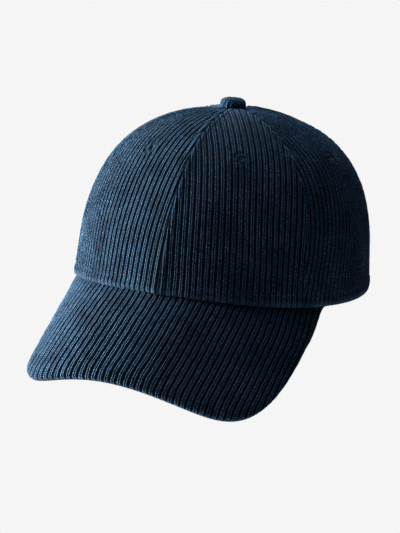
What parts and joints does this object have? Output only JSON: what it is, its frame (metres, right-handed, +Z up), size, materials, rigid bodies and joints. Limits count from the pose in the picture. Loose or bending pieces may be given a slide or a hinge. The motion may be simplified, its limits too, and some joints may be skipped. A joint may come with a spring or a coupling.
{
  "type": "baseball cap",
  "caption": "Six-panel corduroy cap with a curved visor, covered top button, sewn eyelets and a strap with a flip-lever clasp across the back opening.",
  "frame": {"origin": "centre of the head opening, in the plane of the rim", "axes": "+Z up through the top button, -Y towards the front of the visor, +X towards the wearer's left"},
  "size_m": [0.174, 0.2467, 0.1698],
  "materials": {
    "crown_corduroy": "wide-wale cotton corduroy, soft cut pile with a sheen",
    "visor_corduroy": "wide-wale cotton corduroy, soft cut pile with a sheen",
    "trim_corduroy": "wide-wale cotton corduroy, soft cut pile with a sheen",
    "eyelet_thread": "satin-stitched polyester thread",
    "sweatband_twill": "cotton twill",
    "tape_twill": "narrow twill tape",
    "interlining": "fused woven interlining",
    "forehead_foam": "soft foam strip",
    "label_satin": "blank woven satin",
    "visor_plastic": "smooth sheet",
    "button_steel": "stamped sheet",
    "clasp_brass": "antique brushed brass"
  },
  "bodies": {
    "cap": {"front_panel_left": "crown_corduroy", "side_panel_left": "crown_corduroy", "back_panel_left": "crown_corduroy", "back_panel_right": "crown_corduroy", "side_panel_right": "crown_corduroy", "front_panel_right": "crown_corduroy", "visor_top_cover": "visor_corduroy", "visor_under_cover": "visor_corduroy", "button_cover": "trim_corduroy", "adjuster_strap": "trim_corduroy", "buckle_tab": "trim_corduroy", "sewn_eyelets": "eyelet_thread", "sweatband": "sweatband_twill", "front_seam_tape": "tape_twill", "front_left_seam_tape": "tape_twill", "rear_left_seam_tape": "tape_twill", "back_seam_tape": "tape_twill", "rear_right_seam_tape": "tape_twill", "front_right_seam_tape": "tape_twill", "back_arch_binding": "tape_twill", "front_interlining_left": "interlining", "front_interlining_right": "interlining", "sweatband_padding": "forehead_foam", "care_label": "label_satin", "visor_board": "visor_plastic", "button_shell": "button_steel", "button_rivet": "button_steel", "buckle_frame": "clasp_brass", "buckle_pin": "clasp_brass"},
    "clasp_lever": {"buckle_lever": "clasp_brass"}
  },
  "joints": [
    {"name": "clasp_lever_hinge", "type": "hinge", "parent": "cap", "child": "clasp_lever", "pos_m": [0.01064, 0.09902, 0.013], "axis": [0, 0, 1], "range_deg": [0, 100]}
  ]
}
